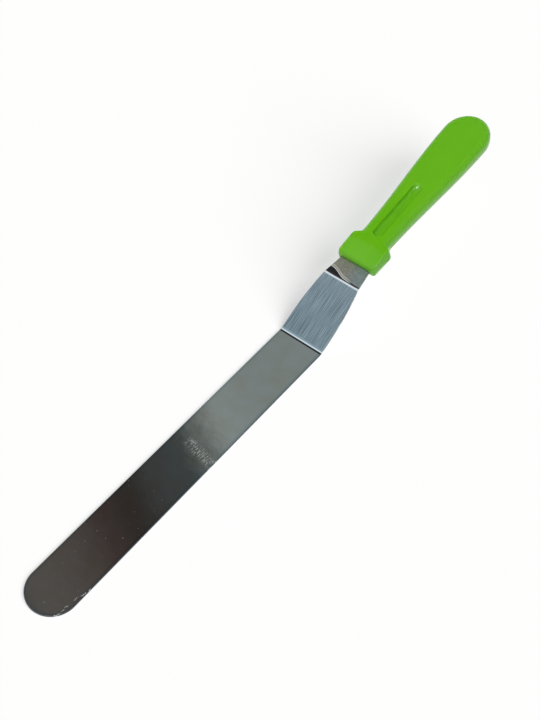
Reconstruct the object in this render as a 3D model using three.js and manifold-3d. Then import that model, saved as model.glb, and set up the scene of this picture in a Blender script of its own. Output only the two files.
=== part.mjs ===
// A cranked icing spatula: one bent stainless strip with a plastic handle moulded onto its tang.
// It lies on its blade. The tip points to -X, the handle to +X, and Z is up.

import * as THREE from 'three';
import { ConvexGeometry } from 'three/addons/geometries/ConvexGeometry.js';
import { LoftGeometry } from 'three/addons/geometries/LoftGeometry.js';
import { mergeVertices } from 'three/addons/utils/BufferGeometryUtils.js';
import Module from 'manifold-3d';

const wasm = await Module();
wasm.setup();

// Driving dimensions, in millimetres and degrees

const strip = {
  thickness: 1.2,
  bendRadius: 4.5, // inside of both bends
};

const blade = {
  width: 29,
  length: 213, // tip to the lower bend
};

const crank = {
  slope: 27.6,
  length: 41.7, // along the steel, from bend to bend
  parallelLength: 9, // keeps the blade's full width so far
  topWidth: 23.4, // at the upper bend
};

const neck = {
  slope: 8.6, // also the pitch of the tang and the handle
  length: 13.4, // upper bend to the collar
  width: 20, // at the collar
};

const collar = {
  overhang: 3, // plastic beyond each edge of the neck
  flare: 1.4, // widening of each side from front to rear
  length: 14.2, // front face to the widest place
  creaseSetback: 0.9, // the crease lies this far before the widest place
  shoulderLength: 5.3, // widest place back to the grip's side
  frontDraft: 0.7, // lean of each side at the front
  rearDraft: 4.4, // lean of each side at the crease
  frontDrop: 1.6, // the front edge lies this far below the grip's face
  edgeRadius: 2.2,
};

const grip = {
  length: 129.2, // collar front to the round end
  thickness: 10.8,
  edgeRadius: 4.3,
  waistWidth: 19.6,
  waistGap: 2.5, // from the shoulder's foot to the waist
  waistSlope: 1.1, // of each side at the waist
  wideWidth: 29.4,
  endLength: 16.9, // widest place to the round end
};

const groove = {
  length: 45.3,
  radius: 3.2, // of its round section
  depth: 2.2,
  setback: 6.6, // from the crease to its near end
};

const tang = {
  wall: 4, // plastic beside the tang at the waist
  drop: 0.8, // its middle lies this far below the handle's middle
  taperLength: 9, // neck width to tang width, inside the collar
  endCover: 46, // plastic beyond its end
  holeDiameter: 5,
  holeInset: 12, // from the collar's rear, and from the tang's end, to a hole
};

const mouldGap = 0.3;
const cutOverrun = 2; // the pocket's cut starts this far before the collar

// Counts of facets

const roundSteps = 12; // quarter of a round end
const bendSteps = 5;
const curveSteps = 8;
const edgeSteps = 4;
const holeSides = 32;
const ballDetail = 3; // splits of each facet on a rounded corner
const samePlace = 1e-4; // points closer than this are one point

const radians = THREE.MathUtils.degToRad;

// The strip's middle line: straight runs with a round bend between them

const crankAngle = radians(crank.slope);
const neckAngle = radians(neck.slope);
const bendMidRadius = strip.bendRadius + strip.thickness / 2;
const lowerTurn = crankAngle;
const upperTurn = crankAngle - neckAngle;
const lowerSetback = bendMidRadius * Math.tan(lowerTurn / 2);
const upperSetback = bendMidRadius * Math.tan(upperTurn / 2);

const tipRadius = blade.width / 2;
const tangWidth = grip.waistWidth - 2 * (tang.wall + mouldGap);
const tangRadius = tangWidth / 2;
const tangLength = grip.length - tang.endCover;

const lowerBendStart = blade.length - lowerSetback;
const crankStart = lowerBendStart + bendMidRadius * lowerTurn;
const upperBendStart = crankStart + crank.length - lowerSetback - upperSetback;
const neckStart = upperBendStart + bendMidRadius * upperTurn;
const collarStart = neckStart + neck.length - upperSetback;
const tangStart = collarStart + tang.taperLength;
const tangEndCentre = collarStart + tangLength - tangRadius;

const runs = [
  { from: 0, to: lowerBendStart, turn: 0 },
  { from: lowerBendStart, to: crankStart, turn: lowerTurn },
  { from: crankStart, to: upperBendStart, turn: 0 },
  { from: upperBendStart, to: neckStart, turn: -upperTurn },
  { from: neckStart, to: collarStart + tangLength, turn: 0 },
];

// Place and slope of the middle line at a distance along the steel from the tip
function midLineAt(along) {
  const place = { x: 0, z: strip.thickness / 2, slope: 0 };
  for (const run of runs) {
    const length = run.to - run.from;
    const gone = Math.min(Math.max(along - run.from, 0), length);
    const turned = run.turn * gone / length;
    const chord = turned === 0 ? gone : 2 * (length / run.turn) * Math.sin(turned / 2);
    place.x += chord * Math.cos(place.slope + turned / 2);
    place.z += chord * Math.sin(place.slope + turned / 2);
    place.slope += turned;
  }
  return place;
}

// Half the strip's width along the steel, grown by a margin where a pocket is cut round it
function halfWidthAt(along, grow = 0) {
  const full = blade.width / 2;
  const top = crank.topWidth / 2;
  const neckHalf = neck.width / 2;
  if (along < tipRadius) {
    return Math.sqrt(tipRadius ** 2 - (tipRadius - along) ** 2) + grow;
  }
  const curveStart = crankStart + crank.parallelLength;
  if (along < curveStart) {
    return full + grow;
  }
  if (along < neckStart) {
    const share = (along - curveStart) / (neckStart - curveStart);
    return full - (full - top) * share ** 2 + grow;
  }
  if (along < collarStart) {
    const share = (along - neckStart) / (collarStart - neckStart);
    return top - (top - neckHalf) * share + grow;
  }
  if (along < tangStart) {
    const share = (along - collarStart) / tang.taperLength;
    return neckHalf - (neckHalf - tangRadius) * THREE.MathUtils.smoothstep(share, 0, 1) + grow;
  }
  if (along < tangEndCentre) {
    return tangRadius + grow;
  }
  return Math.sqrt(Math.max((tangRadius + grow) ** 2 - (along - tangEndCentre) ** 2, 0));
}

// Distances from start to end in equal steps, without the start
function stepsBetween(start, end, count) {
  return Array.from({ length: count }, (_, i) => start + (end - start) * (i + 1) / count);
}

// Distances round a quarter circle, from its outermost facet to its widest place
function roundEndSteps(radius) {
  return Array.from({ length: roundSteps }, (_, i) => {
    const angle = (i + 0.5) / roundSteps * Math.PI / 2;
    return radius * (1 - Math.cos(angle));
  });
}

function tangSteps(grow) {
  const end = tangEndCentre + tangRadius + grow;
  const round = roundEndSteps(tangRadius + grow).reverse();
  return [
    ...stepsBetween(collarStart, tangStart, curveSteps),
    tangEndCentre,
    ...round.map((step) => end - step),
  ];
}

// Rectangle across the strip, turned to its slope
function stripSection(place, halfWidth, halfThickness) {
  const lean = new THREE.Vector3(-Math.sin(place.slope), 0, Math.cos(place.slope));
  const middle = new THREE.Vector3(place.x, 0, place.z);
  const corners = [[1, 1], [-1, 1], [-1, -1], [1, -1]];
  return corners.map(([side, face]) => {
    const point = middle.clone().addScaledVector(lean, face * halfThickness);
    point.y = side * halfWidth;
    return point;
  });
}

// Solids for cutting and joining

function toSolid(geometry) {
  const plain = new THREE.BufferGeometry().copy(geometry);
  plain.deleteAttribute('normal');
  plain.deleteAttribute('uv');
  const merged = mergeVertices(plain, samePlace);
  return new wasm.Manifold(new wasm.Mesh({
    numProp: 3,
    vertProperties: new Float32Array(merged.attributes.position.array),
    triVerts: new Uint32Array(merged.index.array),
  }));
}

function toGeometry(solid) {
  const mesh = solid.getMesh();
  const geometry = new THREE.BufferGeometry();
  geometry.setAttribute('position', new THREE.BufferAttribute(mesh.vertProperties, 3));
  geometry.setIndex(new THREE.BufferAttribute(mesh.triVerts, 1));
  geometry.computeVertexNormals();
  return geometry;
}

function loft(sections) {
  return toSolid(new LoftGeometry(sections, { capStart: true, capEnd: true }));
}

// Round bar upright through the tang at one of its holes, as long as the grip is thick
function holeBar(diameter, along) {
  const bar = new THREE.CylinderGeometry(diameter / 2, diameter / 2, grip.thickness, holeSides);
  bar.rotateX(Math.PI / 2);
  bar.translate(along, 0, 0);
  return bar;
}

// Place and slope of the handle: its origin is the tang's middle at the collar's front face
const handleSeat = midLineAt(collarStart);
const handlePlace = new THREE.Matrix4()
  .makeRotationY(-handleSeat.slope)
  .setPosition(handleSeat.x, 0, handleSeat.z);

// Places along the handle, from the collar's front face
const creaseAt = collar.length - collar.creaseSetback;
const shoulderFoot = collar.length + collar.shoulderLength;
const waistAt = shoulderFoot + grip.waistGap;
const gripStart = collar.length - grip.edgeRadius; // its flat face then starts inside the collar
const holePlaces = [collar.length + tang.holeInset, tangLength - tang.holeInset];

function bladeGeometry() {
  const stations = [
    ...roundEndSteps(tipRadius),
    ...stepsBetween(tipRadius, lowerBendStart, 1),
    ...stepsBetween(lowerBendStart, crankStart, bendSteps),
    crankStart + crank.parallelLength,
    ...stepsBetween(crankStart + crank.parallelLength, upperBendStart, curveSteps),
    ...stepsBetween(upperBendStart, neckStart, bendSteps),
    collarStart,
    ...tangSteps(0),
  ];
  const sections = stations.map((along) =>
    stripSection(midLineAt(along), halfWidthAt(along), strip.thickness / 2));
  let solid = loft(sections);
  for (const along of holePlaces) {
    const bar = holeBar(tang.holeDiameter, along).applyMatrix4(handlePlace);
    solid = solid.subtract(toSolid(bar));
  }
  return toGeometry(solid);
}

// Pocket round the tang, in the handle's own axes, with the plugs left standing in it
function tangPocket() {
  const stations = [collarStart - cutOverrun, collarStart, ...tangSteps(mouldGap)];
  const halfThickness = strip.thickness / 2 + mouldGap;
  const sections = stations.map((along) => {
    const place = { x: along - collarStart, z: 0, slope: 0 };
    return stripSection(place, halfWidthAt(along, mouldGap), halfThickness);
  });
  let pocket = loft(sections);
  for (const along of holePlaces) {
    const plug = holeBar(tang.holeDiameter - 2 * mouldGap, along);
    pocket = pocket.subtract(toSolid(plug));
  }
  return pocket;
}

// Plan of the grip: drawn in at the waist, widest near its round end
function gripOutline() {
  const waist = grip.waistWidth / 2;
  const wide = grip.wideWidth / 2;
  const wideAt = grip.length - grip.endLength;
  const reach = (wideAt - waistAt) / 3;
  const spread = reach * Math.tan(radians(grip.waistSlope));
  const shape = new THREE.Shape();
  shape.moveTo(gripStart, -waist);
  shape.lineTo(waistAt, -waist);
  shape.bezierCurveTo(waistAt + reach, -waist - spread, wideAt - reach, -wide, wideAt, -wide);
  shape.absellipse(wideAt, 0, grip.endLength, wide, -Math.PI / 2, Math.PI / 2, false);
  shape.bezierCurveTo(wideAt - reach, wide, waistAt + reach, waist + spread, waistAt, waist);
  shape.lineTo(gripStart, waist);
  const points = shape.getPoints(roundSteps);
  return new THREE.Shape(points.filter((point, i) => i === 0 || point.distanceTo(points[i - 1]) > samePlace));
}

function gripSolid() {
  const straight = grip.thickness - 2 * grip.edgeRadius;
  const body = new THREE.ExtrudeGeometry(gripOutline(), {
    depth: straight,
    bevelEnabled: true,
    bevelSegments: edgeSteps,
    bevelThickness: grip.edgeRadius,
    bevelSize: grip.edgeRadius,
    bevelOffset: -grip.edgeRadius,
  });
  body.translate(0, 0, -straight / 2);
  return toSolid(body);
}

// Block with flat flaring sides, round at every edge, that runs back into the grip
function collarSolid() {
  const face = grip.thickness / 2;
  const front = neck.width / 2 + collar.overhang;
  const rear = front + collar.flare;
  const waist = grip.waistWidth / 2;
  const round = collar.edgeRadius;
  const corners = [
    [round, front - collar.frontDraft - round, face - collar.frontDrop - round],
    [round, front - round, 0],
    [creaseAt, rear - collar.rearDraft - round, face - round],
    [collar.length, rear - round, 0],
    [shoulderFoot - round, waist - round, 0],
    [shoulderFoot - round, waist - grip.edgeRadius, face - round],
  ];
  const ball = new THREE.IcosahedronGeometry(round, ballDetail).attributes.position;
  const points = [];
  for (const [x, y, z] of corners) {
    for (const [side, level] of [[1, 1], [1, -1], [-1, 1], [-1, -1]]) {
      for (let i = 0; i < ball.count; i += 1) {
        const point = new THREE.Vector3().fromBufferAttribute(ball, i);
        points.push(point.add(new THREE.Vector3(x, side * y, level * z)));
      }
    }
  }
  return toSolid(new ConvexGeometry(points));
}

// Round-bottomed groove along one face of the grip
function grooveSolid(level) {
  const halfMouth = Math.sqrt(groove.radius ** 2 - (groove.radius - groove.depth) ** 2);
  const straight = groove.length - 2 * halfMouth;
  const start = creaseAt + groove.setback;
  const cutter = new THREE.CapsuleGeometry(groove.radius, straight, curveSteps, holeSides);
  cutter.rotateZ(Math.PI / 2);
  const height = grip.thickness / 2 - groove.depth + groove.radius;
  cutter.translate(start + groove.length / 2, 0, level * height);
  return toSolid(cutter);
}

function handleGeometry() {
  const body = collarSolid().add(gripSolid())
    .subtract(grooveSolid(1))
    .subtract(grooveSolid(-1))
    .translate([0, 0, tang.drop]);
  return toGeometry(body.subtract(tangPocket()));
}

// The two pieces and their finishes

const brushedStainless = new THREE.MeshStandardMaterial({ color: 0x9aa0a2, roughness: 0.3, metalness: 1 });
const greenPolypropylene = new THREE.MeshStandardMaterial({ color: 0x62b01e, roughness: 0.4, metalness: 0 });

const bladeMesh = new THREE.Mesh(bladeGeometry(), brushedStainless);
bladeMesh.name = 'blade';

const handleMesh = new THREE.Mesh(handleGeometry(), greenPolypropylene);
handleMesh.name = 'handle';
handleMesh.applyMatrix4(handlePlace);

// The origin lies on the table under the middle of the whole length
const assembly = new THREE.Group();
assembly.add(bladeMesh, handleMesh);
const extent = new THREE.Box3().setFromObject(assembly, true);
assembly.position.x = -(extent.min.x + extent.max.x) / 2;

const spatula = new THREE.Group();
spatula.add(assembly);

export default spatula;
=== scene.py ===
# Offset icing spatula lying on its blade, on a pale studio floor.
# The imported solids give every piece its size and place.
# The meshes made here are finer ones of the same pieces.

import math

import bmesh
import bpy
import numpy as np
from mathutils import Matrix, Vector


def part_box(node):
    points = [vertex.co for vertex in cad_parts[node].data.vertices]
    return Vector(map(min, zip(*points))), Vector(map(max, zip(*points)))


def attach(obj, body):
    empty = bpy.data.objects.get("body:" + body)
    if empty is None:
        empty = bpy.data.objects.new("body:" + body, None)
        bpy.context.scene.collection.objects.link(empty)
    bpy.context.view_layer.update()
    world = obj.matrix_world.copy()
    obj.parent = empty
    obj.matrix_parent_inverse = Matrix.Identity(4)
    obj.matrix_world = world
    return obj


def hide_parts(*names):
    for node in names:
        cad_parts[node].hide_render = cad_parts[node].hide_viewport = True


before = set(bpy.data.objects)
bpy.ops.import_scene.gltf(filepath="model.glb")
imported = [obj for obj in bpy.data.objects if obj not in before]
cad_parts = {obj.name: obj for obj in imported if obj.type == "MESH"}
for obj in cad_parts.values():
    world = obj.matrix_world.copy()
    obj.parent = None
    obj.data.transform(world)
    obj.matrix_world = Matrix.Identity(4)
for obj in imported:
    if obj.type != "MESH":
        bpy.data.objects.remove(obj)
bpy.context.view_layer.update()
mm = 0.001
print("frame loaded:", sorted(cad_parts))


# Helpers

def hexColour(code):
    # sRGB hex to linear colour
    parts = [int(code[i:i + 2], 16) / 255 for i in (1, 3, 5)]
    linear = [p / 12.92 if p <= 0.04045 else ((p + 0.055) / 1.055) ** 2.4 for p in parts]
    return (*linear, 1.0)


def addNode(tree, kind, settings=None, inputs=None):
    # inputs maps a socket's name or number to a value, or to another node's socket, which is linked
    node = tree.nodes.new(kind)
    for key, value in (settings or {}).items():
        setattr(node, key, value)
    for key, value in (inputs or {}).items():
        if isinstance(value, bpy.types.NodeSocket):
            tree.links.new(value, node.inputs[key])
        else:
            node.inputs[key].default_value = value
    return node


def setStops(node, stops):
    # colour ramp from a list of (place, colour)
    ramp = node.color_ramp
    while len(ramp.elements) > 2:
        ramp.elements.remove(ramp.elements[-1])
    for i, (place, colour) in enumerate(stops):
        stop = ramp.elements[i] if i < 2 else ramp.elements.new(place)
        stop.position = place
        stop.color = colour


def setCurve(node, points, across, up):
    # float curve through points, given the ranges that its sides stand for
    curve = node.mapping.curves[0]
    shares = [((a - across[0]) / (across[1] - across[0]), (b - up[0]) / (up[1] - up[0])) for a, b in points]
    for i, share in enumerate(shares):
        if i < 2:
            curve.points[i].location = share
        else:
            curve.points.new(*share)
    node.mapping.update()


def newMaterial(name):
    material = bpy.data.materials.new(name)
    material.use_nodes = True
    tree = material.node_tree
    tree.nodes.clear()
    shader = addNode(tree, "ShaderNodeBsdfPrincipled")
    addNode(tree, "ShaderNodeOutputMaterial", None, {"Surface": shader.outputs[0]})
    return material, tree, shader


def newObject(name, points, faces, material=None):
    # points in millimetres
    mesh = bpy.data.meshes.new(name)
    mesh.from_pydata((np.asarray(points) * mm).tolist(), [], faces)
    mesh.validate()
    mesh.shade_smooth()
    piece = bpy.data.objects.new(name, mesh)
    bpy.context.scene.collection.objects.link(piece)
    if material:
        mesh.materials.append(material)
    return piece


def smoothStep(low, high, value):
    share = np.clip((value - low) / (high - low), 0, 1)
    return share * share * (3 - 2 * share)


def softMin(a, b, width):
    near = np.maximum(width - np.abs(a - b), 0) / width
    return np.minimum(a, b) - near * near * width / 4


def softMax(a, b, width):
    return -softMin(-a, -b, width)


def roundMax(a, b, radius):
    # two distances joined at an edge that is rounded to a radius
    outA, outB = np.maximum(a + radius, 0), np.maximum(b + radius, 0)
    return np.minimum(np.maximum(a, b) + radius, 0) + np.hypot(outA, outB) - radius


# Camera, at the photograph's viewing angle

shot = {
    "lens": 60,          # mm
    "sensor": 36,        # mm, the long side
    "turn": -51.4,       # degrees round from looking along +Y
    "tilt": 37.57,       # degrees up from looking straight down
    "aim": (0.15, 8.8, -6.22),   # mm
    "distance": 683.1,   # mm from the camera to the aim
}


def makeCamera():
    data = bpy.data.cameras.new("camera")
    data.lens = shot["lens"]
    data.sensor_width = shot["sensor"]
    camera = bpy.data.objects.new("camera", data)
    camera.rotation_euler = (math.radians(shot["tilt"]), 0, math.radians(shot["turn"]))
    back = camera.rotation_euler.to_matrix() @ Vector((0, 0, 1))
    camera.location = (Vector(shot["aim"]) + back * shot["distance"]) * mm
    bpy.context.scene.collection.objects.link(camera)
    bpy.context.scene.camera = camera


makeCamera()
print("camera set")


# Blade: one stainless strip with a round tip, two bends, a neck and a tang

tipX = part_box("blade")[0].x / mm

blade = {   # mm and degrees
    "width": 29, "length": 213, "thickness": 1.2, "bendRadius": 4.5,
    "crankSlope": 27.6, "crankLength": 41.7, "crankParallel": 9, "crankTopWidth": 23.4,
    "neckSlope": 8.6, "neckLength": 13.4, "neckWidth": 20,
    "tangWidth": 11, "tangLength": 83.2, "tangTaper": 9,
    "holeDiameter": 5, "holePlaces": (26.2, 71.2),   # from the collar's front
    "edgeRadius": 0.15,   # tumbled edge
    "rollWidth": 2.6, "rollDepth": 0.004,   # polishing wears the faces off towards the edges
}

crankAngle = math.radians(blade["crankSlope"])
neckAngle = math.radians(blade["neckSlope"])
bendMid = blade["bendRadius"] + blade["thickness"] / 2
lowerSetback = bendMid * math.tan(crankAngle / 2)
upperSetback = bendMid * math.tan((crankAngle - neckAngle) / 2)
lowerBend = blade["length"] - lowerSetback
crankStart = lowerBend + bendMid * crankAngle
upperBend = crankStart + blade["crankLength"] - lowerSetback - upperSetback
neckStart = upperBend + bendMid * (crankAngle - neckAngle)
collarStart = neckStart + blade["neckLength"] - upperSetback
tangStart = collarStart + blade["tangTaper"]
tangEnd = collarStart + blade["tangLength"]
runs = [
    (0, lowerBend, 0),
    (lowerBend, crankStart, crankAngle),
    (crankStart, upperBend, 0),
    (upperBend, neckStart, neckAngle - crankAngle),
    (neckStart, tangEnd, 0),
]


def midLine(along):
    # place and slope of the strip's middle line, at distances along the steel from the tip
    x = np.full_like(along, tipX)
    z = np.full_like(along, blade["thickness"] / 2)
    slope = np.zeros_like(along)
    for start, end, turn in runs:
        gone = np.clip(along - start, 0, end - start)
        turned = turn * gone / (end - start)
        chord = gone if turn == 0 else 2 * (end - start) / turn * np.sin(turned / 2)
        x = x + chord * np.cos(slope + turned / 2)
        z = z + chord * np.sin(slope + turned / 2)
        slope = slope + turned
    return x, z, slope


def stripHalfWidth(along):
    full, top = blade["width"] / 2, blade["crankTopWidth"] / 2
    neck, tang = blade["neckWidth"] / 2, blade["tangWidth"] / 2
    curveStart = crankStart + blade["crankParallel"]
    crankShare = np.clip((along - curveStart) / (neckStart - curveStart), 0, 1)
    neckShare = np.clip((along - neckStart) / (collarStart - neckStart), 0, 1)
    tangShare = smoothStep(collarStart, tangStart, along)
    return full - (full - top) * crankShare ** 2 - (top - neck) * neckShare - (neck - tang) * tangShare


def stripOutline(grow=0.0):
    # one side of the strip's outline, from the middle of the tip to the middle of the tang's end,
    # with more points where the strip turns
    tip, tang = blade["width"] / 2, blade["tangWidth"] / 2 + grow
    tangRound = tangEnd - tang + grow
    tipTurn = np.radians(np.linspace(0, 90, 41))
    tangTurn = np.radians(np.linspace(90, 0, 17))
    stations = np.concatenate([
        np.linspace(tip, lowerBend, 40)[1:],
        np.linspace(lowerBend, crankStart, 13)[1:],
        np.linspace(crankStart, upperBend, 24)[1:],
        np.linspace(upperBend, neckStart, 13)[1:],
        np.linspace(neckStart, collarStart, 10)[1:],
        np.linspace(collarStart, tangStart, 16)[1:],
        np.linspace(tangStart, tangRound, 24)[1:-1],
    ])
    along = np.concatenate([tip * (1 - np.cos(tipTurn)), stations, tangRound + tang * np.cos(tangTurn)])
    half = np.concatenate([tip * np.sin(tipTurn), stripHalfWidth(stations) + grow, tang * np.sin(tangTurn)])
    return along, half


def inwardNormal(along, half):
    stepAlong, stepHalf = np.gradient(along), np.gradient(half)
    stepAlong[0] = stepAlong[-1] = 0   # both ends lie on the middle line
    length = np.hypot(stepAlong, stepHalf)
    return stepHalf / length, -stepAlong / length


def faceDrop(inset):
    # how far a face lies below the full thickness, at a distance in from the strip's edge
    roll = blade["rollDepth"] * (1 - np.clip(inset / blade["rollWidth"], 0, 1)) ** 2
    out = np.clip(blade["edgeRadius"] - inset, 0, blade["edgeRadius"])
    return roll + blade["edgeRadius"] - np.sqrt(blade["edgeRadius"] ** 2 - out ** 2)


def stripPoints(along, across, level):
    x, z, slope = midLine(along)
    return np.stack([x - np.sin(slope) * level, across, z + np.cos(slope) * level], -1)


def bladeMesh():
    along, half = stripOutline()
    inAlong, inHalf = inwardNormal(along, half)
    count, columns = len(along), 13
    edgeTurn = np.radians(np.linspace(0, 90, 6))
    lastRing = blade["edgeRadius"] + 0.05   # close to the round edge, which keeps the face's shading flat
    insets = np.concatenate([
        np.linspace(blade["rollWidth"], lastRing, 7),
        blade["edgeRadius"] * (1 - np.sin(edgeTurn)),
    ])
    points, faces = [], []

    # each face is a grid: rings in from one edge, columns across the flat middle, rings out to the other edge
    def addFace(side):
        rows = []
        for inset in insets[::-1]:
            level = side * (blade["thickness"] / 2 - faceDrop(inset))
            rows.append((along + inAlong * inset, half + inHalf * inset, level))
        grid = list(rows)
        innerAlong, innerHalf, innerLevel = rows[-1]
        for share in np.linspace(1, -1, columns)[1:-1]:
            grid.append((innerAlong, innerHalf * share, innerLevel))
        grid += [(a, -h, level) for a, h, level in rows[::-1]]
        start = len(points)
        for a, h, level in grid:
            points.extend(stripPoints(a, h, level))
        for row in range(len(grid) - 1):
            for i in range(count - 1):
                corner = start + row * count + i
                quad = (corner, corner + 1, corner + count + 1, corner + count)
                faces.append(quad if side < 0 else quad[::-1])
        return start, start + (len(grid) - 1) * count

    topLeft, topRight = addFace(1)
    lowLeft, lowRight = addFace(-1)
    for i in range(count - 1):
        faces.append((topLeft + i, topLeft + i + 1, lowLeft + i + 1, lowLeft + i))
        faces.append((topRight + i + 1, topRight + i, lowRight + i, lowRight + i + 1))
    return points, faces


mergeDistance = 1e-7      # m, for points that were made in the same place
cutMergeDistance = 1e-6   # m, for the slivers that cuts leave


def mergePoints(piece, distance=mergeDistance, flatten=False):
    # flatten turns each flat part of the surface into one face
    shape = bmesh.new()
    shape.from_mesh(piece.data)
    bmesh.ops.remove_doubles(shape, verts=shape.verts, dist=distance)
    bmesh.ops.dissolve_degenerate(shape, edges=shape.edges, dist=distance)
    if flatten:
        bmesh.ops.dissolve_limit(shape, angle_limit=math.radians(0.01), verts=shape.verts, edges=shape.edges)
    bmesh.ops.recalc_face_normals(shape, faces=shape.faces)
    shape.to_mesh(piece.data)
    shape.free()


def prism(name, along, across, halfHeight):
    # straight-sided block through the tang's level, from an outline in plan
    count = len(along)
    points = [*stripPoints(along, across, halfHeight), *stripPoints(along, across, -halfHeight)]
    faces = [tuple(range(count)), tuple(range(2 * count - 1, count - 1, -1))]
    faces += [(i, i + count, (i + 1) % count + count, (i + 1) % count) for i in range(count)]
    return newObject(name, points, faces)


def tangRod(name, diameter, place):
    # upright round rod through one of the tang's holes
    sides, halfHeight = 48, 3
    turn = np.linspace(0, 2 * math.pi, sides, endpoint=False)
    along = collarStart + place + diameter / 2 * np.cos(turn)
    return prism(name, along, diameter / 2 * np.sin(turn), halfHeight)


def cutAway(piece, cutter):
    step = piece.modifiers.new("cut", "BOOLEAN")
    step.object = cutter
    step.operation = "DIFFERENCE"
    step.solver = "EXACT"
    cut = bpy.data.meshes.new_from_object(piece.evaluated_get(bpy.context.evaluated_depsgraph_get()))
    piece.modifiers.clear()
    piece.data = cut
    bpy.data.objects.remove(cutter)


steelPiece = newObject("spatula_blade", *bladeMesh())
mergePoints(steelPiece)
for place in blade["holePlaces"]:
    cutAway(steelPiece, tangRod("hole", blade["holeDiameter"], place))
print("blade:", len(steelPiece.data.vertices), "points")


# Handle: one moulding with a collar, a tapered grip and a groove on each face

handle = {   # mm and degrees
    "length": 129.1, "thickness": 10.7, "edgeRadius": 4.3,
    "waistWidth": 19.6, "waistAt": 22.0, "waistSlope": 1.1, "wideWidth": 29.4, "endLength": 16.8,
    "frontWidth": 26, "rearWidth": 28.8, "collarLength": 14.2, "creaseAt": 13.3, "frontDrop": 1.6,
    "frontDraft": 0.7, "rearDraft": 2.1, "ridgeRadius": 1.4,   # lean of the sides, round along their middle
    "shoulderAt": 15.4, "shoulderFall": 1.35, "shoulderLean": 0.25,
    "frontRadius": 2.3, "sideRadius": 0.8, "cornerRadius": 1.3, "creaseSoftness": 0.3, "fillet": 3.0,
    "grooveStart": 19.7, "grooveLength": 45.7, "grooveWidth": 6.4, "grooveDepth": 2.4,
    "grooveWall": 18, "grooveRadius": 1.5, "grooveRim": 0.3,
    "dish": 0.06,   # per mm, hollow of the groove's floor
    "rampLength": 4.4, "rampRise": 1.9, "rampStop": 0.3,   # the floor climbs at the groove's far end
    "tangDrop": 0.8, "mouldGap": 0.3,
}


def gripHalfWidth(u):
    # cubic curve from the waist to the widest place
    waist, wide = handle["waistWidth"] / 2, handle["wideWidth"] / 2
    start, end = handle["waistAt"], handle["length"] - handle["endLength"]
    share = np.clip((u - start) / (end - start), 0, 1)
    spread = (end - start) / 3 * math.tan(math.radians(handle["waistSlope"]))
    keep = 1 - share
    return keep ** 3 * waist + 3 * keep ** 2 * share * (waist + spread) + (3 - 2 * share) * share ** 2 * wide


# The fields below are under zero inside the plastic, and about a distance in millimetres near its surface.
# u runs along the handle from the collar's front, v to its left and w up from its middle.

def collarField(u, v, w):
    face, ridge = handle["thickness"] / 2, handle["ridgeRadius"]
    front, rear = handle["frontWidth"] / 2, handle["rearWidth"] / 2
    flare = (rear - front) / handle["collarLength"]
    slope = handle["frontDrop"] / handle["creaseAt"]
    share = np.clip(u / handle["creaseAt"], 0, 1)
    lean = (handle["frontDraft"] + (handle["rearDraft"] - handle["frontDraft"]) * share) / face
    rounded = (np.hypot(w, ridge) - ridge) * face / (math.hypot(face, ridge) - ridge)
    side = (v - front - flare * u + lean * rounded) / np.sqrt(1 + flare ** 2 + lean ** 2)
    fall, tilt = handle["shoulderFall"], handle["shoulderLean"]
    shoulder = v - rear + fall * (u - handle["shoulderAt"]) + tilt * w
    shoulder = shoulder / math.sqrt(1 + fall ** 2 + tilt ** 2)
    slopedTop = (w - face + slope * (handle["creaseAt"] - u)) / math.sqrt(1 + slope ** 2)
    top = softMax(w - face, slopedTop, handle["creaseSoftness"])
    sides = roundMax(side, shoulder, handle["cornerRadius"])
    return roundMax(roundMax(sides, top, handle["sideRadius"]), -u, handle["frontRadius"])


def gripField(u, v, w):
    half = gripHalfWidth(u)
    step = 0.01
    side = (v - half) / np.hypot(1, (gripHalfWidth(u + step) - half) / step)
    # round end, as an ellipse in plan
    reach, wide = handle["endLength"], handle["wideWidth"] / 2
    past = np.maximum(u - (handle["length"] - reach), 0)
    shareLength = np.hypot(past / reach, v / wide)
    shareSlope = np.maximum(np.hypot(past / reach ** 2, v / wide ** 2), 1e-9)
    side = np.where(past > 0, shareLength * (shareLength - 1) / shareSlope, side)
    body = roundMax(side, w - handle["thickness"] / 2, handle["edgeRadius"])
    return np.maximum(body, handle["creaseAt"] - u)


def handleField(u, v, w):
    v, w = np.abs(v), np.abs(w)
    face = handle["thickness"] / 2
    least = 0.02   # mm, so that the join on the faces stays sharp
    fillet = handle["fillet"] * (1 - smoothStep(0.5 * face, 0.95 * face, w)) + least
    return softMin(collarField(u, v, w), gripField(u, v, w), fillet)


def sectionRadii(u, angles):
    # distance from the handle's middle line out to its surface, by halving
    uu, aa = np.meshgrid(u, angles, indexing="ij")
    low, high = np.zeros_like(uu), np.full_like(uu, handle["wideWidth"])
    halvings = 34
    for _ in range(halvings):
        middle = (low + high) / 2
        inside = handleField(uu, middle * np.cos(aa), middle * np.sin(aa)) < 0
        low = np.where(inside, middle, low)
        high = np.where(inside, high, middle)
    return low


def evenAngles(u, count):
    # angles that space the points evenly round the section at u
    fine = np.linspace(0, 2 * math.pi, 2881)   # eight to a degree
    radius = sectionRadii(np.array([u]), fine)[0]
    steps = np.hypot(np.diff(radius * np.cos(fine)), np.diff(radius * np.sin(fine)))
    gone = np.concatenate([[0], np.cumsum(steps)])
    return np.interp(np.linspace(0, gone[-1], count + 1)[:-1], gone, fine)


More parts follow.
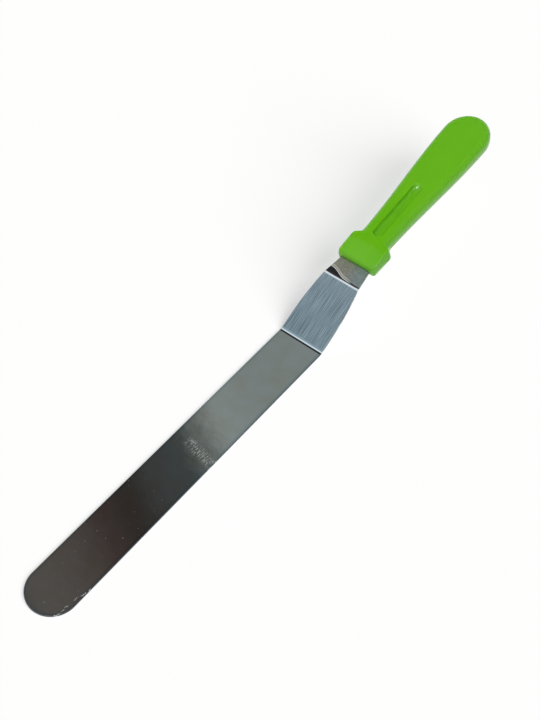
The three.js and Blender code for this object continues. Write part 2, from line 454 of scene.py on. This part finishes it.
def handleStations():
    # closest at the round ends and where the collar meets the grip
    front, end = handle["frontRadius"], handle["length"] - handle["endLength"]
    meet, clear = handle["creaseAt"] - 1.5, handle["waistAt"] + 4
    frontTurn = np.radians(np.linspace(5, 90, 12))
    endTurn = np.radians(np.linspace(0, 88.5, 44))
    return np.concatenate([
        front * (1 - np.cos(frontTurn)),
        np.arange(front + 0.6, meet, 0.6),
        np.arange(meet, clear, 0.35),
        np.arange(clear, end, 1.0),
        end + handle["endLength"] * np.sin(endTurn),
    ])


def toWorld(u, v, w):
    # from the handle's own axes, in mm
    startX, startZ, slope = (value[0] for value in midLine(np.array([collarStart])))
    w = w + handle["tangDrop"]
    x = startX + u * np.cos(slope) - w * np.sin(slope)
    z = startZ + u * np.sin(slope) + w * np.cos(slope)
    return np.stack([x, v, z], -1)


def handleMesh():
    u = handleStations()
    around, midGrip = 240, 80.0
    angles = evenAngles(midGrip, around)
    radius = sectionRadii(u, angles)
    points = toWorld(u[:, None] + 0 * radius, radius * np.cos(angles), radius * np.sin(angles)).reshape(-1, 3)
    faces = []
    for row in range(len(u) - 1):
        for i in range(around):
            near, far = row * around + i, row * around + (i + 1) % around
            faces.append((near, far, far + around, near + around))
    faces.append(tuple(range(around))[::-1])
    last = (len(u) - 1) * around
    faces.append(tuple(last + i for i in range(around)))
    return points, faces


def tangPocket():
    # room round the tang, with a plug of plastic left standing in each of its holes
    gap, overrun = handle["mouldGap"], 2
    along, half = stripOutline(gap)
    inside = along > collarStart
    along = np.concatenate([[collarStart - overrun], along[inside]])
    half = np.concatenate([[blade["neckWidth"] / 2 + gap], half[inside]])
    outline = np.concatenate([along, along[-2::-1]]), np.concatenate([half, -half[-2::-1]])
    pocket = prism("pocket", *outline, blade["thickness"] / 2 + gap)
    for place in blade["holePlaces"]:
        cutAway(pocket, tangRod("plug", blade["holeDiameter"] - 2 * gap, place))
    return pocket


def grooveProfile():
    # half width and depth under the face, from the middle of the groove's floor up past its rounded rim
    half, depth = handle["grooveWidth"] / 2, handle["grooveDepth"]
    wall, low, rim = math.radians(handle["grooveWall"]), handle["grooveRadius"], handle["grooveRim"]
    turn = np.linspace(0, math.pi / 2 - wall, 7)
    lift = 0.02   # lets the rim cross the face instead of only touching it
    reach = math.tan((math.pi / 2 - wall) / 2)
    flat = half - depth * math.tan(wall) - low * reach
    widths = np.concatenate([
        flat * np.linspace(0, 1, 5)[:-1], flat + low * np.sin(turn),
        half + rim * reach - rim * np.sin(turn[::-1]), [half + rim * reach]])
    depths = np.concatenate([
        np.full(4, depth), depth - low + low * np.cos(turn),
        rim - rim * np.cos(turn[::-1]) - lift, [-1]])
    return widths, depths


def grooveCutter(side):
    start, end = handle["grooveStart"], handle["grooveStart"] + handle["grooveLength"]
    rampEnd = end - handle["rampStop"]
    half, depth = handle["grooveWidth"] / 2, handle["grooveDepth"]
    turn = np.linspace(-math.pi / 2, math.pi / 2, 33)
    run = np.linspace(0, 1, 14)[1:-1] * (end - start - 2 * half)
    rings = []
    for width, below in zip(*grooveProfile()):
        u = np.concatenate([end - half + width * np.cos(turn), end - half - run,
                            start + half - width * np.cos(turn), start + half + run])
        v = np.concatenate([width * np.sin(turn), np.full_like(run, width),
                            -width * np.sin(turn), np.full_like(run, -width)])
        climb = handle["rampRise"] * smoothStep(rampEnd - handle["rampLength"], rampEnd, u)
        climb = np.minimum(climb + handle["dish"] * v ** 2, depth - handle["rampStop"])
        w = handle["thickness"] / 2 - below + climb * np.clip(below / depth, 0, 1)
        rings.append(toWorld(u, v, side * w))
    # the lowest ring is a line, which closes when its points are merged
    count = len(rings[0])
    faces = [tuple((len(rings) - 1) * count + i for i in range(count))]
    for row in range(len(rings) - 1):
        for i in range(count):
            near, far = row * count + i, row * count + (i + 1) % count
            faces.append((near, far, far + count, near + count))
    cutter = newObject("groove", np.concatenate(rings), faces)
    mergePoints(cutter)
    return cutter


def settleNormals(piece):
    # flat faces keep their shading beside rounded rims,
    # and many-sided faces are split here, which keeps slivers out of the mesh
    sharpAngle = 40
    piece.data.set_sharp_from_angle(angle=math.radians(sharpAngle))
    step = piece.modifiers.new("normals", "WEIGHTED_NORMAL")
    step.keep_sharp = True
    split = piece.modifiers.new("triangles", "TRIANGULATE")
    split.min_vertices = 5
    split.ngon_method = "BEAUTY"
    split.keep_custom_normals = True
    piece.data = bpy.data.meshes.new_from_object(piece.evaluated_get(bpy.context.evaluated_depsgraph_get()))
    piece.modifiers.clear()


plasticPiece = newObject("spatula_handle", *handleMesh())
mergePoints(plasticPiece, flatten=True)
for cutter in (tangPocket(), grooveCutter(1), grooveCutter(-1)):
    cutAway(plasticPiece, cutter)
for piece in (steelPiece, plasticPiece):
    mergePoints(piece, cutMergeDistance)
    settleNormals(piece)
print("handle:", len(plasticPiece.data.vertices), "points")


# Finishes

smooth = {"interpolation_type": "SMOOTHSTEP"}
plus, minus, times = ({"operation": kind} for kind in ("ADD", "SUBTRACT", "MULTIPLY"))
absolute = {"operation": "ABSOLUTE"}
highest = {"operation": "MAXIMUM"}
colours = {"data_type": "RGBA"}

steel = {
    # ridge is the pale colour of a painted highlight on the neck's ridges
    "colour": "#c4c6c7", "warm": "#c2c0bd", "cool": "#d3dce1", "wedgeShade": "#a3b4bc", "ridge": "#f0e8dc",
    # rim is the darker blue of a painted reflection near the blade's edges; edge is a dark painted shade
    "rim": "#aab5ba", "scuff": "#dcdddd", "edge": "#565c63", "brush": ("#989fa3", "#d9dfe1"),
    "neck": ("#b8bcba", "#d6dad9"), "neckTint": ("#dfe8ea", "#f0e4d6"),   # right and left
    "roughness": 0.05, "scuffRoughness": 0.6, "crankRoughness": 0.16, "neckRoughness": 0.5,
    "edgeRoughness": 0.4,
    # sizes and places in mm, heights of the bump too, and scales per mm
    "grainWidth": 0.3, "grainLength": 16,   # drawn coarser than a real belt finish so that it shows
    "grainHeight": (0.0008, 0.004),   # on the plain steel and on the crank
    "waveLength": 10, "waveHeight": 0.025,   # slight dents of a rolled strip
    "blotchScale": 0.8, "breakScale": 0.6,   # patches about 1.2 mm and 1.7 mm across
    "rimWidth": 2.2, "rimFull": 0.3,
    "bendShadeAt": 0.45, "bendShadeWidth": (0.8, 0.4),   # past the start of the lower bend
    "dullAcross": (-1, 9.5), "dullPast": (1.7, 4.6), "dullLean": 0.06,   # the curved line on the neck
    "ridgeAt": 0.5, "ridgeSpacing": 1.16, "ridgeWidth": 0.55, "ridgeHeight": 0.07, "ridgeFade": (-9, -1),
    "scuffAlong": (0, 30), "scuffAcross": (-15, -9), "scuffWidth": (0.36, 0.1), "scuffEnd": (27, 25),
    "scuffRoute": [
        (7, -11.6), (9, -11.9), (11.3, -11.7), (14, -12.4),
        (16.5, -12.3), (18.7, -12.6), (20.5, -13.6), (25, -14.2),
    ],
    "streakScale": (0.35, 1.5, 0),   # streaks about 3 mm long and 0.7 mm wide
    "streakAt": 120.5, "streakSlant": 0.2, "streakBand": (5.5, 1), "streakFade": (10, 2),
    "speckScale": 0.14, "speckSize": (0.05, 0.02),   # about 7 mm apart, and sizes as shares of that
    "speckEnd": (110, 80),
}


def stainlessSteel():
    # cold-rolled stainless strip, bright on the blade, belt brushed on the crank and dull on the neck:
    # the blade mirrors the room, the crank shows lengthwise streaks and the neck only a soft glow
    material, tree, shader = newMaterial("stainless_rolled_and_brushed")
    spot = addNode(tree, "ShaderNodeTexCoord").outputs["Object"]
    spot = addNode(tree, "ShaderNodeVectorMath", {"operation": "SCALE"}, {0: spot, "Scale": 1000}).outputs[0]
    axes = addNode(tree, "ShaderNodeSeparateXYZ", None, {0: spot})
    x, y = axes.outputs["X"], axes.outputs["Y"]
    along = addNode(tree, "ShaderNodeMath", minus, {0: x, 1: tipX}).outputs[0]
    bendX = [float(value) for value in midLine(np.array([lowerBend, crankStart, upperBend, neckStart]))[0]]

    # noises: lengthwise grain, slow waves, blotches and breaks
    grain = addNode(tree, "ShaderNodeVectorMath", times, {
        0: spot, 1: (1 / steel["grainLength"], 1 / steel["grainWidth"], 0)}).outputs[0]
    grain = addNode(tree, "ShaderNodeTexNoise", None, {"Vector": grain, "Scale": 1, "Detail": 3}).outputs[0]
    waves = addNode(tree, "ShaderNodeTexNoise", None, {
        "Vector": spot, "Scale": 1 / steel["waveLength"], "Detail": 4}).outputs[0]
    blotch = addNode(tree, "ShaderNodeTexNoise", None, {
        "Vector": spot, "Scale": steel["blotchScale"], "Detail": 4}).outputs[0]
    breaks = addNode(tree, "ShaderNodeTexNoise", None, {
        "Vector": spot, "Scale": steel["breakScale"], "Detail": 2}).outputs[0]

    # zones, with edges that fade over about half a millimetre:
    # brushed between the bends, dull past a curved line on the neck
    onCrank = addNode(tree, "ShaderNodeMapRange", smooth, {
        "Value": x, "From Min": bendX[1], "From Max": bendX[1] + 0.6}).outputs[0]
    pastCrank = addNode(tree, "ShaderNodeMapRange", smooth, {
        "Value": x, "From Min": bendX[2] - 0.5, "From Max": bendX[2]}).outputs[0]
    brushed = addNode(tree, "ShaderNodeMath", minus, {0: onCrank, 1: pastCrank}).outputs[0]
    curve = addNode(tree, "ShaderNodeMapRange", smooth, {
        "Value": y, "From Min": steel["dullAcross"][0], "From Max": steel["dullAcross"][1],
        "To Min": steel["dullPast"][0], "To Max": steel["dullPast"][1]}).outputs[0]
    lean = addNode(tree, "ShaderNodeMath", times, {0: y, 1: steel["dullLean"]}).outputs[0]
    curve = addNode(tree, "ShaderNodeMath", plus, {0: curve, 1: lean}).outputs[0]
    past = addNode(tree, "ShaderNodeMath", minus, {0: x, 1: (bendX[2] + bendX[3]) / 2}).outputs[0]
    past = addNode(tree, "ShaderNodeMath", minus, {0: past, 1: curve}).outputs[0]
    onNeck = addNode(tree, "ShaderNodeMapRange", smooth, {
        "Value": past, "From Min": -0.2, "From Max": 0.2}).outputs[0]
    onBlade = addNode(tree, "ShaderNodeMapRange", smooth, {
        "Value": x, "From Min": bendX[0] + 0.3, "From Max": bendX[0] - 0.5}).outputs[0]

    # painted shade: a dark band along the inside of the lower bend
    bendShade = addNode(tree, "ShaderNodeMath", minus, {0: x, 1: bendX[0] + steel["bendShadeAt"]}).outputs[0]
    bendShade = addNode(tree, "ShaderNodeMath", absolute, {0: bendShade}).outputs[0]
    bendShade = addNode(tree, "ShaderNodeMapRange", smooth, {
        "Value": bendShade, "From Min": steel["bendShadeWidth"][0],
        "From Max": steel["bendShadeWidth"][1]}).outputs[0]

    # the blanked edge of the blade, where it turns away from level, is duller than its faces,
    # and coloured dark as painted shade
    facing = addNode(tree, "ShaderNodeNewGeometry").outputs["Normal"]
    facing = addNode(tree, "ShaderNodeSeparateXYZ", None, {0: facing}).outputs["Z"]
    facing = addNode(tree, "ShaderNodeMath", absolute, {0: facing}).outputs[0]
    edge = addNode(tree, "ShaderNodeMapRange", smooth, {
        "Value": facing, "From Min": 0.9985, "From Max": 0.96}).outputs[0]
    edge = addNode(tree, "ShaderNodeMath", times, {0: edge, 1: onBlade}).outputs[0]

    # painted reflection: a narrow rim of the blade's face, straight along its sides and round at its tip,
    # is coloured a darker blue
    halfWidth = blade["width"] / 2
    tipDepth = addNode(tree, "ShaderNodeMath", minus, {0: along, 1: halfWidth}).outputs[0]
    tipDepth = addNode(tree, "ShaderNodeMath", {"operation": "MINIMUM"}, {0: tipDepth, 1: 0}).outputs[0]
    rim = addNode(tree, "ShaderNodeCombineXYZ", None, {"X": tipDepth, "Y": y}).outputs[0]
    rim = addNode(tree, "ShaderNodeVectorMath", {"operation": "LENGTH"}, {0: rim}).outputs["Value"]
    rim = addNode(tree, "ShaderNodeMapRange", smooth, {
        "Value": rim, "From Min": halfWidth - steel["rimWidth"],
        "From Max": halfWidth - steel["rimFull"]}).outputs[0]
    rim = addNode(tree, "ShaderNodeMath", times, {0: rim, 1: onBlade}).outputs[0]

    # two fine ridges follow the curved line side by side, and fade out to the right:
    # their bump is real, and their pale colour is a painted highlight
    ridgesAndHighlight = addNode(tree, "ShaderNodeMath", minus, {0: past, 1: steel["ridgeAt"]}).outputs[0]
    ridgesAndHighlight = addNode(tree, "ShaderNodeMath", absolute, {0: ridgesAndHighlight}).outputs[0]
    ridgesAndHighlight = addNode(tree, "ShaderNodeMath", minus, {0: ridgesAndHighlight, 1: steel["ridgeSpacing"] / 2}).outputs[0]
    ridgesAndHighlight = addNode(tree, "ShaderNodeMath", absolute, {0: ridgesAndHighlight}).outputs[0]
    ridgesAndHighlight = addNode(tree, "ShaderNodeMapRange", smooth, {
        "Value": ridgesAndHighlight, "From Min": steel["ridgeWidth"], "From Max": 0}).outputs[0]
    leftHand = addNode(tree, "ShaderNodeMapRange", smooth, {
        "Value": y, "From Min": steel["ridgeFade"][0], "From Max": steel["ridgeFade"][1]}).outputs[0]
    ridgesAndHighlight = addNode(tree, "ShaderNodeMath", times, {0: ridgesAndHighlight, 1: leftHand}).outputs[0]

    # a scuff that wanders along the right edge near the tip, broken up
    route = addNode(tree, "ShaderNodeMapRange", None, {
        "Value": along, "From Min": steel["scuffAlong"][0], "From Max": steel["scuffAlong"][1]}).outputs[0]
    route = addNode(tree, "ShaderNodeFloatCurve", None, {"Value": route})
    setCurve(route, steel["scuffRoute"], steel["scuffAlong"], steel["scuffAcross"])
    route = addNode(tree, "ShaderNodeMapRange", None, {
        "Value": route.outputs[0], "To Min": steel["scuffAcross"][0],
        "To Max": steel["scuffAcross"][1]}).outputs[0]
    route = addNode(tree, "ShaderNodeMath", minus, {0: y, 1: route}).outputs[0]
    shake = addNode(tree, "ShaderNodeMapRange", None, {
        "Value": blotch, "From Min": 0.3, "From Max": 0.7, "To Min": -0.5, "To Max": 0.5}).outputs[0]
    route = addNode(tree, "ShaderNodeMath", plus, {0: route, 1: shake}).outputs[0]
    route = addNode(tree, "ShaderNodeMath", absolute, {0: route}).outputs[0]
    scuff = addNode(tree, "ShaderNodeMapRange", smooth, {
        "Value": route, "From Min": steel["scuffWidth"][0], "From Max": steel["scuffWidth"][1],
        "To Max": 0.8}).outputs[0]
    broken = addNode(tree, "ShaderNodeMapRange", smooth, {
        "Value": breaks, "From Min": 0.42, "From Max": 0.56}).outputs[0]
    nearTip = addNode(tree, "ShaderNodeMapRange", smooth, {
        "Value": along, "From Min": steel["scuffEnd"][0], "From Max": steel["scuffEnd"][1]}).outputs[0]
    scuff = addNode(tree, "ShaderNodeMath", times, {0: scuff, 1: broken}).outputs[0]
    scuff = addNode(tree, "ShaderNodeMath", times, {0: scuff, 1: nearTip}).outputs[0]

    # short pale, duller streaks in a slanting band across the blade
    streaks = addNode(tree, "ShaderNodeVectorMath", times, {0: spot, 1: steel["streakScale"]}).outputs[0]
    streaks = addNode(tree, "ShaderNodeTexNoise", None, {
        "Vector": streaks, "Scale": 1, "Detail": 2}).outputs[0]
    streaks = addNode(tree, "ShaderNodeMapRange", smooth, {
        "Value": streaks, "From Min": 0.42, "From Max": 0.64, "To Max": 0.8}).outputs[0]
    slant = addNode(tree, "ShaderNodeMath", times, {0: y, 1: steel["streakSlant"]}).outputs[0]
    band = addNode(tree, "ShaderNodeMath", minus, {0: along, 1: steel["streakAt"]}).outputs[0]
    band = addNode(tree, "ShaderNodeMath", minus, {0: band, 1: slant}).outputs[0]
    band = addNode(tree, "ShaderNodeMath", absolute, {0: band}).outputs[0]
    band = addNode(tree, "ShaderNodeMapRange", smooth, {
        "Value": band, "From Min": steel["streakBand"][0], "From Max": steel["streakBand"][1]}).outputs[0]
    rightHand = addNode(tree, "ShaderNodeMapRange", smooth, {
        "Value": y, "From Min": steel["streakFade"][0], "From Max": steel["streakFade"][1]}).outputs[0]
    streaks = addNode(tree, "ShaderNodeMath", times, {0: streaks, 1: band}).outputs[0]
    streaks = addNode(tree, "ShaderNodeMath", times, {0: streaks, 1: rightHand}).outputs[0]

    # specks of lime on the half towards the tip
    cells = addNode(tree, "ShaderNodeTexVoronoi", {"voronoi_dimensions": "2D"}, {
        "Vector": spot, "Scale": steel["speckScale"]})
    specks = addNode(tree, "ShaderNodeMapRange", smooth, {
        "Value": cells.outputs["Distance"], "From Min": steel["speckSize"][0],
        "From Max": steel["speckSize"][1]}).outputs[0]
    chosen = addNode(tree, "ShaderNodeMapRange", None, {
        "Value": cells.outputs["Color"], "From Min": 0.3, "From Max": 0.9, "To Max": 0.6}).outputs[0]
    specks = addNode(tree, "ShaderNodeMath", times, {0: specks, 1: chosen}).outputs[0]
    tipHalf = addNode(tree, "ShaderNodeMapRange", smooth, {
        "Value": along, "From Min": steel["speckEnd"][0], "From Max": steel["speckEnd"][1]}).outputs[0]
    specks = addNode(tree, "ShaderNodeMath", times, {0: specks, 1: tipHalf}).outputs[0]

    marks = addNode(tree, "ShaderNodeMath", highest, {0: scuff, 1: specks}).outputs[0]
    marks = addNode(tree, "ShaderNodeMath", highest, {0: marks, 1: streaks}).outputs[0]

    # colour
    bladeTone = addNode(tree, "ShaderNodeValToRGB", None, {"Fac": waves})
    setStops(bladeTone, [(0.35, hexColour(steel["warm"])), (0.6, hexColour(steel["colour"]))])
    brushTone = addNode(tree, "ShaderNodeValToRGB", None, {"Fac": grain})
    setStops(brushTone, [(0.38, hexColour(steel["brush"][0])), (0.64, hexColour(steel["brush"][1]))])
    neckTone = addNode(tree, "ShaderNodeValToRGB", None, {"Fac": blotch})
    setStops(neckTone, [(0.35, hexColour(steel["neck"][0])), (0.68, hexColour(steel["neck"][1]))])
    acrossNeck = addNode(tree, "ShaderNodeMapRange", None, {
        "Value": y, "From Min": -8, "From Max": 8}).outputs[0]
    neckTint = addNode(tree, "ShaderNodeValToRGB", None, {"Fac": acrossNeck})
    setStops(neckTint, [(0.2, hexColour(steel["neckTint"][0])), (0.55, hexColour(steel["neckTint"][1]))])
    neckTone = addNode(tree, "ShaderNodeMix", {"data_type": "RGBA", "blend_type": "MULTIPLY"}, {
        "Factor": 1, "A": neckTone.outputs[0], "B": neckTint.outputs[0]})
    tone = addNode(tree, "ShaderNodeMix", colours, {
        "Factor": onBlade, "A": hexColour(steel["cool"]), "B": bladeTone.outputs[0]}).outputs["Result"]
    tone = addNode(tree, "ShaderNodeMix", colours, {
        "Factor": brushed, "A": tone, "B": brushTone.outputs[0]}).outputs["Result"]
    # painted reflection: from the upper bend to the curved line the steel is coloured a darker blue grey
    pastBend = addNode(tree, "ShaderNodeMapRange", smooth, {
        "Value": x, "From Min": bendX[3] - 0.4, "From Max": bendX[3] + 0.1}).outputs[0]
    tone = addNode(tree, "ShaderNodeMix", colours, {
        "Factor": pastBend, "A": tone, "B": hexColour(steel["wedgeShade"])}).outputs["Result"]
    tone = addNode(tree, "ShaderNodeMix", colours, {
        "Factor": onNeck, "A": tone, "B": neckTone.outputs["Result"]}).outputs["Result"]
    # painted highlight: the ridges are coloured pale
    tone = addNode(tree, "ShaderNodeMix", colours, {
        "Factor": ridgesAndHighlight, "A": tone, "B": hexColour(steel["ridge"])}).outputs["Result"]
    # painted reflection and shade: a bluish rim near the blade's edges, a dark band at the lower bend and a
    # dark edge
    for zone, zoneTone in ((rim, steel["rim"]), (bendShade, steel["edge"]), (edge, steel["edge"])):
        tone = addNode(tree, "ShaderNodeMix", colours, {
            "Factor": zone, "A": tone, "B": hexColour(zoneTone)}).outputs["Result"]
    tone = addNode(tree, "ShaderNodeMix", colours, {
        "Factor": marks, "A": tone, "B": hexColour(steel["scuff"])}).outputs["Result"]

    # roughness, with the ridges left bright
    polish = addNode(tree, "ShaderNodeMath", minus, {0: 1, 1: ridgesAndHighlight}).outputs[0]
    dull = addNode(tree, "ShaderNodeMath", times, {0: onNeck, 1: polish}).outputs[0]
    rough = addNode(tree, "ShaderNodeMapRange", None, {
        "Value": brushed, "To Min": steel["roughness"], "To Max": steel["crankRoughness"]}).outputs[0]
    for zone, zoneRoughness in (
        (dull, steel["neckRoughness"]), (edge, steel["edgeRoughness"]), (marks, steel["scuffRoughness"]),
    ):
        zoneRough = addNode(tree, "ShaderNodeMath", times, {0: zone, 1: zoneRoughness}).outputs[0]
        rough = addNode(tree, "ShaderNodeMath", highest, {0: rough, 1: zoneRough}).outputs[0]

    # bump
    waveHeight = addNode(tree, "ShaderNodeMath", times, {0: waves, 1: steel["waveHeight"]}).outputs[0]
    grainHeight = addNode(tree, "ShaderNodeMapRange", None, {
        "Value": brushed, "To Min": steel["grainHeight"][0], "To Max": steel["grainHeight"][1]}).outputs[0]
    grainHeight = addNode(tree, "ShaderNodeMath", times, {0: grain, 1: grainHeight}).outputs[0]
    height = addNode(tree, "ShaderNodeMath", plus, {0: waveHeight, 1: grainHeight}).outputs[0]
    ridgeHeight = addNode(tree, "ShaderNodeMath", times, {0: ridgesAndHighlight, 1: steel["ridgeHeight"]}).outputs[0]
    height = addNode(tree, "ShaderNodeMath", plus, {0: height, 1: ridgeHeight}).outputs[0]
    bump = addNode(tree, "ShaderNodeBump", None, {"Height": height, "Distance": mm, "Strength": 1}).outputs[0]

    for socket, value in (("Base Color", tone), ("Roughness", rough), ("Normal", bump)):
        tree.links.new(value, shader.inputs[socket])
    shader.inputs["Metallic"].default_value = 1.0
    return material


plastic = {
    "colour": "#5dab08", "pale": "#63ae0c", "roughness": (0.18, 0.25), "ior": 1.49,
    "grainSize": 0.35, "grainHeight": 0.0004,   # mm, spark-eroded mould drawn coarser so that it shows
    "flowScale": (0.03, 0.09, 0.09),   # per mm, streaks about 33 mm long and 11 mm wide
    "wearScale": 0.3,   # per mm, patches about 3 mm across
}


def greenPlastic():
    # moulded polypropylene: a soft sheen, and colour that drifts a little along the flow
    material, tree, shader = newMaterial("polypropylene_moulded")
    spot = addNode(tree, "ShaderNodeTexCoord").outputs["Object"]
    spot = addNode(tree, "ShaderNodeVectorMath", {"operation": "SCALE"}, {0: spot, "Scale": 1000}).outputs[0]
    flow = addNode(tree, "ShaderNodeVectorMath", times, {0: spot, 1: plastic["flowScale"]}).outputs[0]
    flow = addNode(tree, "ShaderNodeTexNoise", None, {"Vector": flow, "Scale": 1, "Detail": 3}).outputs[0]
    tone = addNode(tree, "ShaderNodeValToRGB", None, {"Fac": flow})
    setStops(tone, [(0.3, hexColour(plastic["colour"])), (0.7, hexColour(plastic["pale"]))])
    wear = addNode(tree, "ShaderNodeTexNoise", None, {
        "Vector": spot, "Scale": plastic["wearScale"], "Detail": 4}).outputs[0]
    rough = addNode(tree, "ShaderNodeMapRange", None, {
        "Value": wear, "From Min": 0.3, "From Max": 0.7,
        "To Min": plastic["roughness"][0], "To Max": plastic["roughness"][1]}).outputs[0]
    grain = addNode(tree, "ShaderNodeTexNoise", None, {
        "Vector": spot, "Scale": 1 / plastic["grainSize"], "Detail": 1}).outputs[0]
    grain = addNode(tree, "ShaderNodeMath", times, {0: grain, 1: plastic["grainHeight"]}).outputs[0]
    bump = addNode(tree, "ShaderNodeBump", None, {"Height": grain, "Distance": mm, "Strength": 1}).outputs[0]
    for socket, value in (("Base Color", tone.outputs[0]), ("Roughness", rough), ("Normal", bump)):
        tree.links.new(value, shader.inputs[socket])
    shader.inputs["IOR"].default_value = plastic["ior"]
    return material


steelPiece.data.materials.append(stainlessSteel())
plasticPiece.data.materials.append(greenPlastic())
for piece, node, slotName in (
    (steelPiece, "blade", "stainless_steel"),
    (plasticPiece, "handle", "green_plastic"),
):
    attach(piece, "root")
    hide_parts(node)
print("finishes set")


# Studio: a pale floor, a light tent with a front and a side lamp for the handle,
# a lamp from the right for the shadow on the floor, and a room for the steel to mirror

studio = {
    "floorColour": "#afafae", "floorGlow": 0.62, "bounceColour": "#f3f3f2", "floorSize": 40000,   # mm
    # directions are right, away and up, as the camera sees them, and spreads are degrees across
    "tent": {"from": (0.25, 0, 1), "strength": 2.8, "spread": 170},
    "front": {"from": (-0.545, -0.43, 0.717), "strength": 0.75, "spread": 8},
    "side": {"from": (0.4, -0.27, 0.88), "strength": 0.9, "spread": 6, "glintOnly": True},
    "shadow": {"from": (0.62, -0.5, 0.62), "strength": 4.4, "spread": 50},
    "horizonColour": "#fdfdfc", "wallColour": "#b0b4b6",
    "horizonEdge": (0.16, 0.05), "ceilingEdge": (0.6, 0.74),   # heights, from 0 level to 1 overhead
    "ceilingTowards": (0.847, 0.531),   # right and away: the way that the ceiling changes
    "ceiling": [   # place that way, -1 to 1, and the light there
        (-1.0, "#a4acb2"), (-0.46, "#9fb3bd"), (-0.36, "#9fb3bd"),
        (-0.30, "#fbfdff"), (-0.12, "#fbfdff"), (0.0, "#fbfdff"),
        (0.035, "#565b5e"), (0.08, "#6a6560"), (0.118, "#605a55"), (0.146, "#4d423f"), (0.174, "#3c3733"),
        (0.202, "#4e5050"), (0.229, "#4b5252"), (0.243, "#727975"), (0.257, "#929894"), (0.262, "#a6b0ad"),
        (0.30, "#9aa4a1"), (0.36, "#9aa4a1"), (1.0, "#a8acac"),
    ],
}


def viewAxes():
    turn = math.radians(shot["turn"])
    right = Vector((math.cos(turn), math.sin(turn), 0))
    away = Vector((-math.sin(turn), math.cos(turn), 0))
    return right, away, Vector((0, 0, 1))


def fromView(parts):
    return sum((axis * part for axis, part in zip(viewAxes(), parts)), Vector()).normalized()


def makeFloor():
    half = studio["floorSize"] / 2
    corners = [(-half, -half, 0), (half, -half, 0), (half, half, 0), (-half, half, 0)]
    floor = newObject("floor", corners, [(0, 1, 2, 3)])

    # matt paper, without gloss: seen straight or in the steel it is a grey that a glow lifts to white,
    # so that it keeps the shadow, and it bounces light as pale paper does
    material, tree, shader = newMaterial("matt_paper")
    path = addNode(tree, "ShaderNodeLightPath")
    seen = addNode(tree, "ShaderNodeMath", plus, {
        0: path.outputs["Is Camera Ray"], 1: path.outputs["Is Glossy Ray"]}).outputs[0]
    seen = addNode(tree, "ShaderNodeMath", {"operation": "ADD", "use_clamp": True}, {
        0: seen, 1: path.outputs["Is Transmission Ray"]}).outputs[0]
    paper = addNode(tree, "ShaderNodeMix", colours, {
        "Factor": seen, "A": hexColour(studio["bounceColour"]), "B": hexColour(studio["floorColour"])})
    tree.links.new(paper.outputs["Result"], shader.inputs["Base Color"])
    glow = addNode(tree, "ShaderNodeMath", times, {0: seen, 1: studio["floorGlow"]}).outputs[0]
    tree.links.new(glow, shader.inputs["Emission Strength"])
    shader.inputs["Emission Color"].default_value = (1, 1, 1, 1)
    shader.inputs["Roughness"].default_value = 0.9
    shader.inputs["Specular IOR Level"].default_value = 0.0
    floor.data.materials.append(material)
    return floor


def makeLamp(name, lamp, receivers, mirrored):
    data = bpy.data.lights.new(name, "SUN")
    data.energy = lamp["strength"]
    data.angle = math.radians(lamp["spread"])
    data.cycles.use_multiple_importance_sampling = mirrored   # off, no ray finds the lamp by chance
    light = bpy.data.objects.new(name, data)
    light.rotation_euler = fromView(lamp["from"]).to_track_quat("Z", "Y").to_euler()
    light.visible_glossy = mirrored
    light.visible_diffuse = not lamp.get("glintOnly", False)
    bpy.context.scene.collection.objects.link(light)
    group = bpy.data.collections.new(name + " receivers")
    for piece in receivers:
        group.objects.link(piece)
    light.light_linking.receiver_collection = group


def makeRoom():
    world = bpy.data.worlds.new("room")
    world.use_nodes = True
    tree = world.node_tree
    tree.nodes.clear()
    ray = addNode(tree, "ShaderNodeTexCoord").outputs["Generated"]
    up = addNode(tree, "ShaderNodeSeparateXYZ", None, {0: ray}).outputs["Z"]
    dot = {"operation": "DOT_PRODUCT"}
    across = fromView((*studio["ceilingTowards"], 0))
    place = addNode(tree, "ShaderNodeVectorMath", dot, {0: ray, 1: across}).outputs["Value"]
    place = addNode(tree, "ShaderNodeMapRange", None, {"Value": place, "From Min": -1}).outputs[0]
    ceiling = addNode(tree, "ShaderNodeValToRGB", None, {"Fac": place})
    setStops(ceiling, [((q + 1) / 2, hexColour(code)) for q, code in studio["ceiling"]])
    high = addNode(tree, "ShaderNodeMapRange", smooth, {
        "Value": up, "From Min": studio["ceilingEdge"][0], "From Max": studio["ceilingEdge"][1]}).outputs[0]
    low = addNode(tree, "ShaderNodeMapRange", smooth, {
        "Value": up, "From Min": studio["horizonEdge"][0], "From Max": studio["horizonEdge"][1]}).outputs[0]
    light = addNode(tree, "ShaderNodeMix", colours, {
        "Factor": low, "A": hexColour(studio["wallColour"]),
        "B": hexColour(studio["horizonColour"])}).outputs["Result"]
    light = addNode(tree, "ShaderNodeMix", colours, {
        "Factor": high, "A": light, "B": ceiling.outputs[0]}).outputs["Result"]

    # the camera and mirrors see the room, and the lamps light the matt surfaces in its place
    path = addNode(tree, "ShaderNodeLightPath")
    room = addNode(tree, "ShaderNodeBackground", None, {"Color": light})
    dark = addNode(tree, "ShaderNodeBackground", None, {"Strength": 0})
    both = addNode(tree, "ShaderNodeMixShader", None, {
        0: path.outputs["Is Diffuse Ray"], 1: room.outputs[0], 2: dark.outputs[0]})
    addNode(tree, "ShaderNodeOutputWorld", None, {"Surface": both.outputs[0]})
    world.cycles.sampling_method = "NONE"   # rays find the room themselves
    bpy.context.scene.world = world


floor = makeFloor()
makeLamp("light tent", studio["tent"], [plasticPiece], False)
makeLamp("front lamp", studio["front"], [plasticPiece], True)
makeLamp("side lamp", studio["side"], [plasticPiece], True)
makeLamp("shadow lamp", studio["shadow"], [floor], False)
makeRoom()
bpy.context.scene.view_settings.view_transform = "Standard"
print("studio lit")


print("scene built")
